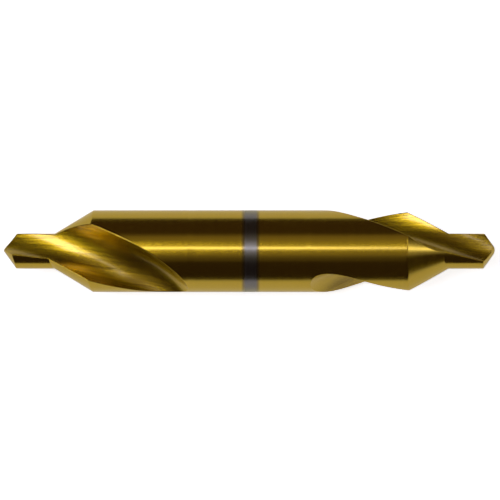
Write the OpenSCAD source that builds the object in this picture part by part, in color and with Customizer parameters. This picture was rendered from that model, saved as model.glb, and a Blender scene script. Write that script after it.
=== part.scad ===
// Double-ended centre drill: a pilot drill and a countersink ground on both ends of one round bar.
// Each end has two right-hand helical flutes, two relieved lands and a point with two lips.
// The tool lies along X, and the origin is on its axis, midway between the points.

/* [Bar] */
// Diameter of the bar
body_d = 12.7; // [9:0.1:20]
// Length of the tool from point to point
overall_l = 76.2; // [66:0.1:120]

/* [Pilot drill] */
// Diameter of the pilot
pilot_d = 5.45; // [3.5:0.05:7]
// Length of the pilot, from the point to the start of the countersink
pilot_l = 7.15; // [5:0.05:10]
// Angle between the two lips of the point
point_angle = 120; // [100:1:140]
// How far the axis of each flank of the point lies off the tool's axis
flank_offset = 1.7; // [0.5:0.05:2.5]
// Angle between a lip and the chisel edge
chisel_angle = 58; // [45:1:65]

/* [Countersink] */
// Angle of the countersink
sink_angle = 60; // [50:1:90]
// How far the axis of each land of the countersink lies off the tool's axis
land_offset = 0.6; // [0.1:0.05:0.9]

/* [Flutes] */
// Length of a flute, from the point to where it leaves the bar
flute_l = 28.7; // [24:0.1:33]
// Length along the tool in which a flute makes a full turn
flute_lead = 89.2; // [60:0.1:200]
// Radius of the flute's round floor
flute_r = 4.4; // [3.5:0.1:6]
// Angle between the middle of a flute and its straight cutting face
face_angle = 30; // [20:1:40]
// Angle between the middle of a flute and the straight wall on its heel side
heel_angle = 49; // [35:1:60]
// Thickness of the web between the flutes at the point
web_t = 1.6; // [0.8:0.05:2.4]
// How much each flute's floor rises per millimetre of length
web_taper = 0.08; // [0.04:0.005:0.12]
// Radius of the arc on which a flute leaves the bar
runout_r = 11; // [9:0.5:60]
// Turn of the flutes at the point on the +X end
plus_turn = -3.8; // [-90:0.1:90]
// Turn of the flutes at the point on the -X end
minus_turn = 43.3; // [-90:0.1:90]

/* [Hidden] */
$fn = 96;

body_r = body_d / 2;
pilot_r = pilot_d / 2;
// Axial length of the point, from the chisel edge to the lips' outer corners
point_l = pilot_r / tan(point_angle / 2);
// Distance from the point to where a cutting edge of the countersink reaches the bar
sink_end = pilot_l + (body_r - pilot_r) / tan(sink_angle / 2);
// Angle from a land's cutting edge, where it meets the pilot, to the plane between the two lands
edge_margin = 4;

// A flute's floor rises evenly, then leaves the bar on an arc
runout_rise = body_r - web_t / 2 - web_taper * flute_l;
runout_l = sqrt(runout_rise * (2 * runout_r - runout_rise));
runout_slope = runout_l / (runout_r - runout_rise);

// How far the grinding wheel runs past the point and past the end of the flute
overrun = 1.5;
// Steps along a wheel's path, round its floor and up each of its straight walls
wheel_steps = 32;
arc_steps = 18;
wall_steps = 4;

// Height of the run-out's arc, at a distance x from its start, going on straight past its end
function arc_rise(x) =
    x < 0 ? 0 :
    x < runout_l ? runout_r - sqrt(runout_r * runout_r - x * x) :
    runout_rise + runout_slope * (x - runout_l);

// Distance from the tool's axis to the flute's floor, at a distance u from the point
function floor_at(u) = web_t / 2 + web_taper * u + arc_rise(u - flute_l + runout_l);

// Turn of the flute's floor about the tool's axis, at a distance u from the point
function turn_at(u) = -360 * u / flute_lead;

// Angle from the middle of a flute to its cutting edge, on a circle of radius r at a distance u from the
// point. Near the axis the edge is on the round floor, and farther out on the straight cutting face.
function cut_width(r, u) =
    let (
        centre = floor_at(u) + flute_r,
        face_start = [centre - flute_r * sin(face_angle), flute_r * cos(face_angle)],
        along = [cos(face_angle), sin(face_angle)],
        reach = face_start * along,
        beyond = r * r - face_start * face_start
    )
    beyond > 0 ?
        let (edge = face_start + along * (sqrt(reach * reach + beyond) - reach)) atan2(edge[1], edge[0]) :
        acos(max(-1, min(1, (r * r + centre * centre - flute_r * flute_r) / (2 * r * centre))));

// Turn of the cutting edge, which is the flute's trailing edge
function edge_at(r, u) = turn_at(u) - cut_width(r, u);

// A point at radius r and turn a
function polar(r, a) = [r * cos(a), r * sin(a)];

// Evenly spaced values from one to another
function steps(from, to, count) = [for (i = [0 : count]) from + (to - from) * i / count];

// Section of a wheel's path at a distance u from the point: the cutting face, the round floor, the wall on
// the heel side and, outside the bar, the mouth
function wheel_section(u) =
    let (
        turn = turn_at(u),
        out = polar(1, turn),
        side = polar(1, turn + 90),
        centre = floor_at(u) + flute_r,
        floor_arc = [
            for (a = steps(face_angle - 90, 90 - heel_angle, arc_steps))
            [centre - flute_r * cos(a), flute_r * sin(a)]
        ],
        face = [
            for (l = steps(body_r, body_r / wall_steps, wall_steps - 1))
            floor_arc[0] + l * [cos(face_angle), -sin(face_angle)]
        ],
        heel = [
            for (l = steps(body_r / wall_steps, body_r, wall_steps - 1))
            floor_arc[arc_steps] + l * [cos(heel_angle), sin(heel_angle)]
        ],
        mouth = [[centre + body_d, heel[wall_steps - 1][1]], [centre + body_d, face[0][1]]]
    )
    [for (p = concat(face, floor_arc, heel, mouth)) concat(p[0] * out + p[1] * side, overall_l / 2 - u)];

// One flute's wheel path, swept from past the point to past the run-out
module wheel_path() {
    distances = steps(-overrun, flute_l + overrun, wheel_steps);
    ring = len(wheel_section(0));
    points = [for (u = distances) each wheel_section(u)];
    walls = [
        for (i = [0 : wheel_steps - 1], j = [0 : ring - 1])
        let (a = i * ring + j, b = i * ring + (j + 1) % ring)
        each [[a, a + ring, b], [b, a + ring, b + ring]]
    ];
    near_cap = [for (j = [1 : ring - 2]) [0, j, j + 1]];
    far = wheel_steps * ring;
    far_cap = [for (j = [1 : ring - 2]) [far, far + j + 1, far + j]];
    polyhedron(points = points, faces = concat(walls, near_cap, far_cap));
}

// A cone about an axis that lies off the tool's axis, away from the turn drop, so that the surface falls
// away behind its cutting edge. It passes through two points of that edge, each [radius, turn, distance].
module relieved_cone(offset, drop, edge_a, edge_b) {
    axis = polar(-offset, drop);
    radius_a = norm(polar(edge_a[0], edge_a[1]) - axis);
    radius_b = norm(polar(edge_b[0], edge_b[1]) - axis);
    slope = (radius_b - radius_a) / (edge_b[2] - edge_a[2]);
    apex = edge_a[2] - radius_a / slope;
    far_end = overall_l + overrun;
    translate([axis[0], axis[1], overall_l / 2 - far_end])
        cylinder(h = far_end - apex, r1 = (far_end - apex) * slope, r2 = 0);
}

// The same shape on both sides of the tool
module twice() {
    for (side = [0, 180])
        rotate([0, 0, side]) children();
}

// What both of a pair of relieved cones leave standing
module paired_cones(offset, drop, edge_a, edge_b) {
    intersection() {
        relieved_cone(offset, drop, edge_a, edge_b);
        rotate([0, 0, 180]) relieved_cone(offset, drop, edge_a, edge_b);
    }
}

// The two lands of a countersink, as an unfluted cone
module countersink() {
    inner = [pilot_r, edge_at(pilot_r, pilot_l), pilot_l];
    outer = [body_r, edge_at(body_r, sink_end), sink_end];
    paired_cones(land_offset, inner[1] + edge_margin - 90, inner, outer);
}

// The pilot and its point, before the flutes are ground
module pilot() {
    chisel = [0, 0, 0];
    corner = [pilot_r, edge_at(pilot_r, point_l), point_l];
    intersection() {
        translate([0, 0, overall_l / 2 - sink_end]) cylinder(h = sink_end + overrun, r = pilot_r);
        paired_cones(flank_offset, chisel_angle - 180, chisel, corner);
    }
}

// Sets what belongs to an end at the +Z end or at the -Z end of an upright tool
module at_plus() { rotate([0, 0, plus_turn]) children(); }
module at_minus() { rotate([180, 0, 0]) rotate([0, 0, minus_turn]) children(); }

// The bar with its two pilots and countersinks, unfluted
module blank() {
    intersection() {
        cylinder(h = overall_l, r = body_r, center = true);
        at_plus() countersink();
        at_minus() countersink();
    }
    at_plus() pilot();
    at_minus() pilot();
}

// The finished tool, one piece of coated high-speed steel
module centre_drill() {
    color([0.78, 0.6, 0.18])
    rotate([0, 90, 0])
    difference() {
        blank();
        at_plus() twice() wheel_path();
        at_minus() twice() wheel_path();
    }
}

centre_drill();
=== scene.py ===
import math
import bmesh
import bpy
import numpy as np
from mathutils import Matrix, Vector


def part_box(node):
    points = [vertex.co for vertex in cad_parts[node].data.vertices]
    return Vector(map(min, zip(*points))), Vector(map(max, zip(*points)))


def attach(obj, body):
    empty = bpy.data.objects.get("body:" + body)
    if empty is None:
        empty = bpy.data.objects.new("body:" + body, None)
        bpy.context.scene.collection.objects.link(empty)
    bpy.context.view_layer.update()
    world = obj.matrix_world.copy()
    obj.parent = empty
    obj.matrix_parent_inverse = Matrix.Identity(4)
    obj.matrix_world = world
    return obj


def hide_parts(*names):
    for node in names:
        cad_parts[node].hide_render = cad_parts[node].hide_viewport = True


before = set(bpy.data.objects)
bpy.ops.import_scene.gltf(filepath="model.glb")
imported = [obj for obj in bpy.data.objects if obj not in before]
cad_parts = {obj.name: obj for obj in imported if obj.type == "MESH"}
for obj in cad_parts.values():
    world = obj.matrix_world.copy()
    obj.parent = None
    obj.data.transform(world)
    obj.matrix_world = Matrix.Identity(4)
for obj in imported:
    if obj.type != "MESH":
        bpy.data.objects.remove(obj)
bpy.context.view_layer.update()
scene = bpy.context.scene
scene.view_settings.view_transform = "Standard"


# The camera stands almost straight over the lying tool, leaning a little towards the picture's lower edge,
# with a long lens. The lean is read from the bar, which mirrors more of the floor on that side.
mm = 0.001
camera_lean = math.radians(7.5)
camera_distance = 310.5 * mm
aim_right = 0.115 * mm
aim_up = 0.171 * mm
lens_length = 144
film_width = 36
nearest_seen = 10 * mm

camera_data = bpy.data.cameras.new("camera")
camera_data.lens = lens_length
camera_data.sensor_width = film_width
camera_data.clip_start = nearest_seen
camera = bpy.data.objects.new("camera", camera_data)
camera.location = (
    aim_right,
    aim_up * math.cos(camera_lean) - camera_distance * math.sin(camera_lean),
    aim_up * math.sin(camera_lean) + camera_distance * math.cos(camera_lean),
)
camera.rotation_euler = (camera_lean, 0, 0)
scene.collection.objects.link(camera)
scene.camera = camera


# The floor is a wide sheet of white card, and the tool lies on it. It shows white and keeps a faint soft
# shadow. Where the steel mirrors it, it is painted a little darker, and some way off painted as dark as the
# room: painted shade for the lamps' light falling off across the card.
floor_half = 1.5
floor_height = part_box("centre_drill")[0][2]
card_white = (0.92, 0.92, 0.92)
card_painted_shade = (0.05, 0.05, 0.05)
card_glow = 0.80
card_glow_mirrored = 0.15
painted_shade_from = 45 * mm
painted_shade_to = 150 * mm

floor_mesh = bpy.data.meshes.new("floor")
floor_mesh.from_pydata(
    [(x * floor_half, y * floor_half, floor_height) for x, y in ((-1, -1), (1, -1), (1, 1), (-1, 1))],
    [],
    [(0, 1, 2, 3)],
)
floor = bpy.data.objects.new("floor", floor_mesh)
scene.collection.objects.link(floor)


def put(tree, value, socket):
    if isinstance(value, bpy.types.NodeSocket):
        tree.links.new(value, socket)
    else:
        socket.default_value = value


def calc(tree, operation, *values):
    node = tree.nodes.new("ShaderNodeMath")
    node.operation = operation
    for value, socket in zip(values, node.inputs):
        put(tree, value, socket)
    return node.outputs["Value"]


def ramp(tree, value, from_min, from_max, to_min=0, to_max=1, kind="LINEAR"):
    node = tree.nodes.new("ShaderNodeMapRange")
    node.interpolation_type = kind
    put(tree, value, node.inputs["Value"])
    node.inputs["From Min"].default_value = from_min
    node.inputs["From Max"].default_value = from_max
    node.inputs["To Min"].default_value = to_min
    node.inputs["To Max"].default_value = to_max
    return node.outputs["Result"]


def mix_colours(tree, share, first, second):
    node = tree.nodes.new("ShaderNodeMix")
    node.data_type = "RGBA"
    sockets = {socket.identifier: socket for socket in [*node.inputs, *node.outputs]}
    put(tree, share, sockets["Factor_Float"])
    for colour, name in ((first, "A_Color"), (second, "B_Color")):
        put(tree, (*colour, 1) if isinstance(colour, tuple) else colour, sockets[name])
    return sockets["Result_Color"]


def place_parts(tree, kind):
    place = tree.nodes.new("ShaderNodeTexCoord")
    parts = tree.nodes.new("ShaderNodeSeparateXYZ")
    tree.links.new(place.outputs[kind], parts.inputs["Vector"])
    return parts.outputs


card = bpy.data.materials.new("white_card")
card.use_nodes = True
tree = card.node_tree
tree.nodes.clear()
ray = tree.nodes.new("ShaderNodeLightPath")
mirrored = calc(tree, "MAXIMUM", ray.outputs["Is Glossy Ray"], ray.outputs["Is Transmission Ray"])
far_off = calc(tree, "ABSOLUTE", place_parts(tree, "Object")["Y"])
# Painted shade: some way off, the card that the steel mirrors turns dark, in its colour and in its glow.
mirrored_painted_shade = calc(tree, "MULTIPLY", mirrored, ramp(tree, far_off, painted_shade_from, painted_shade_to))
mirrored_white = calc(tree, "SUBTRACT", mirrored, mirrored_painted_shade)
paper = tree.nodes.new("ShaderNodeBsdfDiffuse")
put(tree, mix_colours(tree, mirrored_painted_shade, card_white, card_painted_shade), paper.inputs["Color"])
dimmed = calc(tree, "MULTIPLY", mirrored_white, card_glow_mirrored)
seen = calc(tree, "MULTIPLY_ADD", ray.outputs["Is Camera Ray"], card_glow, dimmed)
glow = tree.nodes.new("ShaderNodeEmission")
put(tree, seen, glow.inputs["Strength"])
both = tree.nodes.new("ShaderNodeAddShader")
put(tree, paper.outputs["BSDF"], both.inputs[0])
put(tree, glow.outputs["Emission"], both.inputs[1])
card_out = tree.nodes.new("ShaderNodeOutputMaterial")
put(tree, both.outputs["Shader"], card_out.inputs["Surface"])
floor_mesh.materials.append(card)


# The studio is a dim, warm room above the card. A wide soft lamp hangs aslant on the left of the camera, a
# narrow strip over the bar, and a small and a far lamp on the right. Rims, edges and spills are their soft
# edges. Each hangs a little above the one before, since of two in one plane the steel mirrors only one.
room_back = (0.046, 0.030, 0.022)
room_front = (0.030, 0.020, 0.018)
room_back_from = 0.6
room_front_from = -0.4
horizon_colour = (0.75, 0.75, 0.75)
horizon_blur = 0.01
lamp_height = 600 * mm
lamp_step = 2 * mm
cool = (1.0, 1.0, 1.2)
warm = (1.0, 0.88, 0.6)

world = bpy.data.worlds.new("studio")
scene.world = world
world.use_nodes = True
tree = world.node_tree
tree.nodes.clear()
direction = place_parts(tree, "Generated")
backward = ramp(tree, direction["Y"], room_front_from, room_back_from)
room = mix_colours(tree, backward, room_front, room_back)
upward = ramp(tree, direction["Z"], -horizon_blur, horizon_blur)
sky = tree.nodes.new("ShaderNodeBackground")
put(tree, mix_colours(tree, upward, horizon_colour, room), sky.inputs["Color"])
sky_out = tree.nodes.new("ShaderNodeOutputWorld")
put(tree, sky.outputs["Background"], sky_out.inputs["Surface"])

lamps = [
    ("left_lamp_far", (-600, -390), (-190, 90), 4.0, cool),
    ("left_lamp", (-390, -225), (-150, 160), 4.4, cool),
    ("left_lamp_near", (-225, -150), (-50, 220), 4.4, cool),
    ("left_lamp_rim", (-150, -115), (-150, 160), 4.4, cool),
    ("strip_lamp", (-90, 80), (-15, 34), 2.1, cool),
    ("strip_lamp_rim", (-90, 80), (-52, 68), 0.6, cool),
    ("left_spill", (-700, -115), (-500, 480), 0.08, warm),
    ("middle_spill", (-115, 85), (-230, 400), 0.07, warm),
    ("middle_spill_rim", (-115, 85), (-320, 460), 0.05, warm),
    ("middle_spill_edge", (-115, 85), (-450, 560), 0.05, warm),
    ("right_spill", (85, 215), (-220, 520), 0.12, warm),
    ("right_spill_rim", (215, 500), (-220, 520), 0.36, warm),
    ("right_core", (125, 185), (30, 140), 2.4, cool),
    ("right_core_rim", (185, 245), (140, 270), 2.0, cool),
    ("right_lamp", (700, 2000), (-60, 110), 1.5, cool),
    ("right_lamp_rim", (700, 2000), (-170, 240), 0.45, cool),
    ("right_lamp_edge", (700, 2000), (-380, 460), 0.22, cool),
]
for hung, (name, (left, right), (front, back), brightness, colour) in enumerate(lamps, start=1):
    lamp_data = bpy.data.lights.new(name, "AREA")
    lamp_data.shape = "RECTANGLE"
    lamp_data.size = (right - left) * mm
    lamp_data.size_y = (back - front) * mm
    lamp_data.energy = brightness * math.pi * lamp_data.size * lamp_data.size_y
    lamp_data.color = colour
    lamp = bpy.data.objects.new(name, lamp_data)
    lamp.location = ((left + right) / 2 * mm, (front + back) / 2 * mm, lamp_height + hung * lamp_step)
    scene.collection.objects.link(lamp)


# The tool is one round bar of high-speed steel with the same pilot drill and countersink ground on both
# ends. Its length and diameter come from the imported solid, and the sizes of an end follow. Along an end,
# u is the distance from its point.
low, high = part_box("centre_drill")
tool_l = high[0] - low[0]
bar_r = min(high[1] - low[1], high[2] - low[2]) / 2
pilot_r = 5.45 / 2 * mm
pilot_l = 7.15 * mm
point_angle = math.radians(120)
sink_angle = math.radians(60)
point_l = pilot_r / math.tan(point_angle / 2)
sink_l = pilot_l + (bar_r - pilot_r) / math.tan(sink_angle / 2)
plus_turn = math.radians(-3.8)
minus_turn = math.radians(43.3)


# Each end has two flutes, ground from the point with a shaped wheel, on a right-hand twist. A flute has a
# round floor between a straight cutting face and a straight heel wall, and leaves the bar on an arc.
flute_l = 28.7 * mm
flute_lead = 89.2 * mm
flute_r = 4.4 * mm
face_angle = math.radians(30)
heel_angle = math.radians(49)
face_slant = math.pi / 2 - face_angle
heel_slant = math.pi / 2 - heel_angle
web_t = 1.6 * mm
web_taper = 0.08
runout_r = 11 * mm
runout_rise = bar_r - web_t / 2 - web_taper * flute_l
runout_l = math.sqrt(runout_rise * (2 * runout_r - runout_rise))


def flute_floor(u):
    arc = np.clip(u - flute_l + runout_l, 0, runout_l)
    return web_t / 2 + web_taper * u + runout_r - np.sqrt(runout_r**2 - arc**2)


def flute_turn(u):
    return -2 * np.pi * u / flute_lead


# Where a wall reaches a radius: the turn from the flute's middle, and the path from there along the hollow
def wall_edge(r, u, slant):
    centre = flute_floor(u) + flute_r
    on_floor = np.arccos(np.clip((r**2 + centre**2 - flute_r**2) / (2 * r * centre), -1, 1))
    floor_path = flute_r * np.arctan2(r * np.sin(on_floor), centre - r * np.cos(on_floor))
    wall_out = centre - flute_r * math.cos(slant)
    wall_side = flute_r * math.sin(slant)
    short = r**2 - wall_out**2 - wall_side**2
    reach = centre * math.sin(slant)
    run = np.sqrt(reach**2 + np.maximum(short, 0)) - reach
    on_wall = np.arctan2(wall_side + run * math.cos(slant), wall_out + run * math.sin(slant))
    wall_path = flute_r * slant + run
    return np.where(short > 0, on_wall, on_floor), np.where(short > 0, wall_path, floor_path)


def cutting_edge(r, u):
    return flute_turn(u) - wall_edge(r, u, face_slant)[0]


def heel_edge(r, u):
    return flute_turn(u) + wall_edge(r, u, heel_slant)[0] - np.pi


# The point of the hollow at a path along it from the flute's middle
def hollow_point(u, path):
    angle = np.clip(path / flute_r, -face_slant, heel_slant)
    run = path - angle * flute_r
    out = flute_floor(u) + flute_r - flute_r * np.cos(angle) + run * np.sin(angle)
    side = flute_r * np.sin(angle) + run * np.cos(angle)
    turn = flute_turn(u)
    return out * np.cos(turn) - side * np.sin(turn), out * np.sin(turn) + side * np.cos(turn)


# The flanks of the point and the lands of the countersink are cones ground about an axis off the tool's own,
# so that each falls away behind its cutting edge.
chisel_angle = math.radians(58)
flank_offset = 1.7 * mm
land_offset = 0.6 * mm
edge_margin = math.radians(4)
closing_steps = 60


# A cone through two points of a cutting edge, each a radius, a turn and a distance from the point
def relieved_cone(offset, drop, edge_a, edge_b):
    axis_x = -offset * math.cos(drop)
    axis_y = -offset * math.sin(drop)

    def reach(r, turn):
        return math.hypot(r * math.cos(turn) - axis_x, r * math.sin(turn) - axis_y)

    slope = (reach(*edge_b[:2]) - reach(*edge_a[:2])) / (edge_b[2] - edge_a[2])

    def distance(x, y):
        return edge_a[2] + (np.hypot(x - axis_x, y - axis_y) - reach(*edge_a[:2])) / slope

    return distance


chisel_turn = chisel_angle - math.pi
point_corner = (pilot_r, float(cutting_edge(pilot_r, point_l)), point_l)
flank = relieved_cone(flank_offset, chisel_turn, (0, 0, 0), point_corner)

sink_inner = (pilot_r, float(cutting_edge(pilot_r, pilot_l)), pilot_l)
sink_outer = (bar_r, float(cutting_edge(bar_r, sink_l)), sink_l)
sink = relieved_cone(land_offset, sink_inner[1] + edge_margin - math.pi / 2, sink_inner, sink_outer)


# The distance at which an edge of a flute meets a cone, closed in on from a start
def meet(cone, r, edge, start):
    u = start + np.zeros_like(r)
    for _ in range(closing_steps):
        turn = edge(r, u)
        u = cone(r * np.cos(turn), r * np.sin(turn))
    return u


# A land runs from the point over the pilot, the countersink and the bar to the middle of the tool, between
# the heel of one flute and the cutting edge of the next. Its edges are sharp, and narrow strips along them
# keep the soft turn of the shading close to each edge.
edge_strip = 0.09 * mm
land_columns = 64
pilot_rows = 30
sink_rows = 30
bar_rows = 72
plain_rows = 9


# Shares from 0 to 1, evenly spaced between a narrow strip at either end
def spread(count, strip):
    strip = np.asarray(strip)[..., None]
    inner = strip + (1 - 2 * strip) * np.linspace(0, 1, count - 2)
    ends = np.zeros_like(strip)
    return np.concatenate([ends, inner, ends + 1], axis=-1)


def across_land(r, heel_u, cut_u):
    heel_turn = heel_edge(r, heel_u)
    width_turn = cutting_edge(r, cut_u) - heel_turn
    strip = np.minimum(edge_strip / (r * width_turn), 1 / (land_columns - 1))
    return heel_turn[..., None] + width_turn[..., None] * spread(land_columns, strip)


heel_corner = meet(flank, np.array([pilot_r]), heel_edge, point_l)[0]
heel_inner = meet(sink, np.array([pilot_r]), heel_edge, pilot_l)[0]

# Pilot
share = spread(pilot_rows, edge_strip / (pilot_l - point_l))
pilot_heel_u = heel_corner + (heel_inner - heel_corner) * share
pilot_cut_u = point_l + (pilot_l - point_l) * share
pilot_r_rows = np.full_like(share, pilot_r)
pilot_turn = across_land(pilot_r_rows, pilot_heel_u, pilot_cut_u)
first = flank(pilot_r * np.cos(pilot_turn[0]), pilot_r * np.sin(pilot_turn[0]))
last = sink(pilot_r * np.cos(pilot_turn[-1]), pilot_r * np.sin(pilot_turn[-1]))
pilot_u = first + (last - first) * share[:, None]

# Countersink
share = spread(sink_rows, edge_strip / (bar_r - pilot_r))
sink_r_rows = pilot_r + (bar_r - pilot_r) * share
sink_heel_u = meet(sink, sink_r_rows, heel_edge, pilot_l)
sink_cut_u = meet(sink, sink_r_rows, cutting_edge, pilot_l)
sink_turn = across_land(sink_r_rows, sink_heel_u, sink_cut_u)
sink_u = sink(sink_r_rows[:, None] * np.cos(sink_turn), sink_r_rows[:, None] * np.sin(sink_turn))

# Fluted part of the bar, with its rows closer together towards the end of the flutes
share = 1 - (1 - spread(bar_rows, edge_strip / (flute_l - sink_l))) ** 2
bar_heel_u = sink_heel_u[-1] + (flute_l - sink_heel_u[-1]) * share
bar_cut_u = sink_cut_u[-1] + (flute_l - sink_cut_u[-1]) * share
bar_r_rows = np.full_like(share, bar_r)
bar_turn = across_land(bar_r_rows, bar_heel_u, bar_cut_u)
bar_u = sink_u[-1] + (flute_l - sink_u[-1]) * share[:, None]

# Plain part of the bar, up to the middle of the tool, where the columns of both ends meet
plain_share = np.linspace(0, 1, plain_rows)
column_pitch = math.pi / (land_columns - 1)
end_turn = bar_turn[-1, 0]
twist_to_meet = (-2 * end_turn - plus_turn - minus_turn) % column_pitch
plain_strip = edge_strip / (math.pi * bar_r) * (1 - plain_share) + plain_share / (land_columns - 1)
plain_turn = end_turn + math.pi * spread(land_columns, plain_strip)
plain_u = np.repeat((flute_l + (tool_l / 2 - flute_l) * plain_share)[:, None], land_columns, axis=1)
plain_r_rows = np.full_like(plain_share, bar_r)


def land_grid(twist):
    twisted_turn = plain_turn + twist * plain_share[:, None]
    turn = np.concatenate([pilot_turn, sink_turn[1:], bar_turn[1:], twisted_turn[1:]])
    u = np.concatenate([pilot_u, sink_u[1:], bar_u[1:], plain_u[1:]])
    r = np.concatenate([pilot_r_rows, sink_r_rows[1:], bar_r_rows[1:], plain_r_rows[1:]])
    return np.stack([r[:, None] * np.cos(turn), r[:, None] * np.sin(turn), u], axis=-1)


# The point has two flanks, each between the heel of one flute, the chisel edge, the lip of the other flute
# and the outer corner of the pilot. The chisel edge ends where the flutes' round floors cut it.
point_rows = 20
chisel_out = chisel_turn + math.pi / 2


def room_to_flute(r):
    x = r * math.cos(chisel_out)
    y = r * math.sin(chisel_out)
    u = flank(x, y)
    centre = flute_floor(u) + flute_r
    turn = flute_turn(u)
    return math.hypot(x - centre * math.cos(turn), y - centre * math.sin(turn)) - flute_r


chisel_r, beyond = 0, pilot_r
for _ in range(closing_steps):
    middle = (chisel_r + beyond) / 2
    if room_to_flute(middle) > 0:
        chisel_r = middle
    else:
        beyond = middle
chisel_u = float(flank(chisel_r * math.cos(chisel_out), chisel_r * math.sin(chisel_out)))
chisel_path = -float(wall_edge(chisel_r, chisel_u, face_slant)[1])
lip_path = -float(wall_edge(pilot_r, point_l, face_slant)[1])
heel_path = float(wall_edge(pilot_r, heel_corner, heel_slant)[1])


# The line in which a flute meets a flank, on either side of the tool
def along_flank(path, side):
    u = np.full_like(path, point_l / 2)
    for _ in range(closing_steps):
        x, y = hollow_point(u, path)
        u = flank(side * x, side * y)
    return side * x, side * y, u


row_share = spread(point_rows, edge_strip / (pilot_r - chisel_r))
lip_paths = chisel_path + (lip_path - chisel_path) * row_share
heel_paths = chisel_path + (heel_path - chisel_path) * row_share
lip_x, lip_y, lip_u = along_flank(lip_paths, 1)
heel_x, heel_y, heel_u = along_flank(heel_paths, -1)

column_share = spread(land_columns, edge_strip / np.hypot(lip_x - heel_x, lip_y - heel_y))
column_share[-1] = (pilot_turn[0] - pilot_turn[0, 0]) / (pilot_turn[0, -1] - pilot_turn[0, 0])
flank_x = heel_x[:, None] + (lip_x - heel_x)[:, None] * column_share
flank_y = heel_y[:, None] + (lip_y - heel_y)[:, None] * column_share
bow_x = pilot_r * np.cos(pilot_turn[0]) - flank_x[-1]
bow_y = pilot_r * np.sin(pilot_turn[0]) - flank_y[-1]
flank_x = flank_x + bow_x * row_share[:, None] ** 2
flank_y = flank_y + bow_y * row_share[:, None] ** 2
flank_grid = np.stack([flank_x, flank_y, flank(flank_x, flank_y)], axis=-1)
flank_grid[:, 0, 2] = heel_u
flank_grid[:, -1, 2] = lip_u


# A flute's wall starts on the lip of one flank and the heel of the other, and runs between the two lands to
# where it leaves the bar. Its columns settle from those of the flanks to even ones along the pilot.
flute_columns = 2 * point_rows - 1
least_width = 1e-6 * mm
cut_u = np.concatenate([pilot_cut_u, sink_cut_u[1:], bar_cut_u[1:]])
back_u = np.concatenate([pilot_heel_u, sink_heel_u[1:], bar_heel_u[1:]])
edge_r = np.concatenate([pilot_r_rows, sink_r_rows[1:], bar_r_rows[1:]])
cut_path = -wall_edge(edge_r, cut_u, face_slant)[1]
back_path = wall_edge(edge_r, back_u, heel_slant)[1]
start_path = np.concatenate([lip_paths[::-1], heel_paths[1:]])
start_u = np.concatenate([lip_u[::-1], heel_u[1:]])
start_share = (start_path - lip_path) / (heel_path - lip_path)
width = np.maximum(back_path - cut_path, least_width)
even_share = spread(flute_columns, np.minimum(edge_strip / width, 1 / (flute_columns - 1)))
settled = np.ones(len(cut_u))
settled[:pilot_rows] = (pilot_cut_u - point_l) / (pilot_l - point_l)
ease = (settled**2 * (3 - 2 * settled))[:, None]
flute_share = start_share + (even_share - start_share) * ease
flute_path = cut_path[:, None] + (back_path - cut_path)[:, None] * flute_share
flute_u = cut_u[:, None] + (back_u - cut_u)[:, None] * flute_share
start_bow = start_u - (point_l + (heel_corner - point_l) * start_share)
flute_u = flute_u + start_bow * ((1 - settled) ** 2)[:, None]
flute_x, flute_y = hollow_point(flute_u, flute_path)
flute_grid = np.stack([flute_x, flute_y, flute_u], axis=-1)
flute_marks = np.stack([flute_u, flute_path], axis=-1) / mm


# The four half ends are joined into one closed skin. The end on the left is the one on the right turned
# about, with its flutes at their own turn. The marks say which way a wall was ground, and differ between
# the two flutes of an end.
ground, fluted = 0, 1
marks_shift = 40
weld_gap = 0.0002 * mm
vertices = []
faces = []
finish_of_face = []
marks_of_corner = []


def add_grid(grid, marks, end, half, finish):
    turn = half + (plus_turn if end == "plus" else minus_turn)
    x = grid[..., 0] * math.cos(turn) - grid[..., 1] * math.sin(turn)
    y = grid[..., 0] * math.sin(turn) + grid[..., 1] * math.cos(turn)
    along = tool_l / 2 - grid[..., 2]
    if end == "plus":
        placed = np.stack([along, y, -x], axis=-1)
    else:
        placed = np.stack([-along, -y, -x], axis=-1)
    rows, columns = grid.shape[:2]
    base = sum(len(block) for block in vertices)
    vertices.append(placed.reshape(-1, 3))
    index = np.arange(rows * columns).reshape(rows, columns)
    round_face = [index[:-1, :-1], index[:-1, 1:], index[1:, 1:], index[1:, :-1]]
    corners = np.stack(round_face, axis=-1).reshape(-1, 4)
    faces.append(corners + base)
    finish_of_face.append(np.full(len(corners), finish))
    marks_of_corner.append(marks.reshape(-1, 2)[corners])


for end in ("plus", "minus"):
    lands = land_grid(twist_to_meet if end == "plus" else 0)
    for half in (0, math.pi):
        add_grid(flank_grid, flank_grid[..., :2] / mm, end, half, ground)
        add_grid(lands, lands[..., :2] / mm, end, half, ground)
        add_grid(flute_grid, flute_marks + marks_shift * half, end, half, fluted)

drill_mesh = bpy.data.meshes.new("centre_drill_ground")
drill_mesh.from_pydata(np.concatenate(vertices).tolist(), [], np.concatenate(faces).tolist())
drill_mesh.polygons.foreach_set("material_index", np.concatenate(finish_of_face))
grinding = drill_mesh.uv_layers.new(name="grinding")
grinding.data.foreach_set("uv", np.concatenate(marks_of_corner).reshape(-1))
skin = bmesh.new()
skin.from_mesh(drill_mesh)
bmesh.ops.remove_doubles(skin, verts=skin.verts, dist=weld_gap)
bmesh.ops.recalc_face_normals(skin, faces=skin.faces)
skin.to_mesh(drill_mesh)
skin.free()
drill_mesh.shade_smooth()
drill = bpy.data.objects.new("centre_drill_ground", drill_mesh)
scene.collection.objects.link(drill)
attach(drill, "root")
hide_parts("centre_drill")


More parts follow.
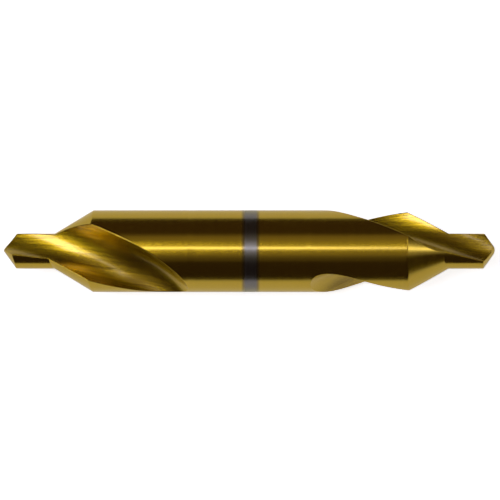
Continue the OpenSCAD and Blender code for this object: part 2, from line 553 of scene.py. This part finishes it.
# The whole tool is coated in hard gold-coloured nitride, under a thin clear sheen. The bar and lands are
# ground round and round, so fine lines run about them. A narrow band in the middle is bare grey steel, a
# little rougher, with brown edges.
coat_colour = (0.62, 0.415, 0.010)
coat_dark = (0.57, 0.375, 0.008)
coat_rim = (1.0, 0.95, 0.6, 1)
steel_colour = (0.195, 0.182, 0.160)
steel_rough = 0.30
tint_colour = (0.25, 0.175, 0.040)
band_middle = 0.20 * mm
band_half = 0.95 * mm
band_blur = 0.25 * mm
tint_full = band_half + 0.09 * mm
tint_none = band_half + 0.585 * mm
sheen_index = 2.0
quarter_turn = 0.25
line_detail = 4.0
line_stretch = (9000, 130, 130)
line_crispness = 0.65
line_shade_span = (0.3, 0.7)
line_gloss_span = (0.35, 0.65)
line_rough_span = (0.17, 0.23)
line_strength = 0.04
line_depth = 0.002 * mm


def new_metal(name, smear, sheen, sheen_rough):
    material = bpy.data.materials.new(name)
    material.use_nodes = True
    metal = material.node_tree.nodes["Principled BSDF"]
    metal.inputs["Metallic"].default_value = 1
    metal.inputs["Specular Tint"].default_value = coat_rim
    metal.inputs["Anisotropic"].default_value = smear
    metal.inputs["Anisotropic Rotation"].default_value = quarter_turn
    metal.inputs["Coat Weight"].default_value = sheen
    metal.inputs["Coat IOR"].default_value = sheen_index
    metal.inputs["Coat Roughness"].default_value = sheen_rough
    return material, material.node_tree, metal


def grinding_lines(tree, place, stretch, crispness):
    stretched = tree.nodes.new("ShaderNodeMapping")
    put(tree, place, stretched.inputs["Vector"])
    stretched.inputs["Scale"].default_value = stretch
    noise = tree.nodes.new("ShaderNodeTexNoise")
    put(tree, stretched.outputs["Vector"], noise.inputs["Vector"])
    noise.inputs["Scale"].default_value = 1
    noise.inputs["Detail"].default_value = line_detail
    noise.inputs["Roughness"].default_value = crispness
    return noise.outputs["Fac"]


def scratch(tree, metal, lines, strength, depth):
    bump = tree.nodes.new("ShaderNodeBump")
    put(tree, lines, bump.inputs["Height"])
    put(tree, strength, bump.inputs["Strength"])
    bump.inputs["Distance"].default_value = depth
    put(tree, bump.outputs["Normal"], metal.inputs["Normal"])


ground_coat, tree, metal = new_metal("ground_coat", smear=0.6, sheen=0.35, sheen_rough=0.12)
place = tree.nodes.new("ShaderNodeTexCoord")
lines = grinding_lines(tree, place.outputs["Object"], line_stretch, line_crispness)
shade = mix_colours(tree, ramp(tree, lines, *line_shade_span), coat_dark, coat_colour)
from_middle = calc(tree, "SUBTRACT", place_parts(tree, "Object")["X"], band_middle)
away = calc(tree, "ABSOLUTE", from_middle)
tint_share = ramp(tree, away, tint_none, tint_full, kind="SMOOTHSTEP")
steel_share = ramp(tree, away, band_half + band_blur, band_half - band_blur, kind="SMOOTHSTEP")
tinted = mix_colours(tree, tint_share, shade, tint_colour)
put(tree, mix_colours(tree, steel_share, tinted, steel_colour), metal.inputs["Base Color"])

gloss = ramp(tree, lines, *line_gloss_span, *line_rough_span)
rougher = calc(tree, "SUBTRACT", steel_rough, gloss)
put(tree, calc(tree, "MULTIPLY_ADD", steel_share, rougher, gloss), metal.inputs["Roughness"])
around = tree.nodes.new("ShaderNodeTangent")
around.direction_type = "RADIAL"
around.axis = "X"
put(tree, around.outputs["Tangent"], metal.inputs["Tangent"])
scratch(tree, metal, lines, line_strength, line_depth)
drill_mesh.materials.append(ground_coat)


# The flutes are ground lengthwise with a wheel and coated with the rest, so their lines run along the twist.
# The lines die out towards the end of a flute, where the wheel lifts off the bar.
groove_colour = (0.42, 0.275, 0.005)
groove_stretch = (0.06, 2.4, 1.0)
groove_crispness = 0.75
groove_shade_span = (0.42, 0.58)
groove_rough_span = (0.20, 0.24)
groove_depth = 0.032 * mm
lift_off = tool_l / 2 - flute_l
lift_off_l = 6 * mm

flute_coat, tree, metal = new_metal("flute_coat", smear=1.0, sheen=0.4, sheen_rough=0.16)
marks = tree.nodes.new("ShaderNodeUVMap")
marks.uv_map = "grinding"
lines = grinding_lines(tree, marks.outputs["UV"], groove_stretch, groove_crispness)
away = calc(tree, "ABSOLUTE", place_parts(tree, "Object")["X"])
pressed = ramp(tree, away, lift_off, lift_off + lift_off_l, kind="SMOOTHSTEP")
lifted = calc(tree, "SUBTRACT", 1, pressed)
bright = calc(tree, "MAXIMUM", ramp(tree, lines, *groove_shade_span), lifted)
put(tree, mix_colours(tree, bright, groove_colour, coat_colour), metal.inputs["Base Color"])

put(tree, ramp(tree, lines, 0, 1, *groove_rough_span), metal.inputs["Roughness"])
lengthwise = tree.nodes.new("ShaderNodeTangent")
lengthwise.direction_type = "UV_MAP"
lengthwise.uv_map = "grinding"
put(tree, lengthwise.outputs["Tangent"], metal.inputs["Tangent"])
scratch(tree, metal, lines, pressed, groove_depth)
drill_mesh.materials.append(flute_coat)
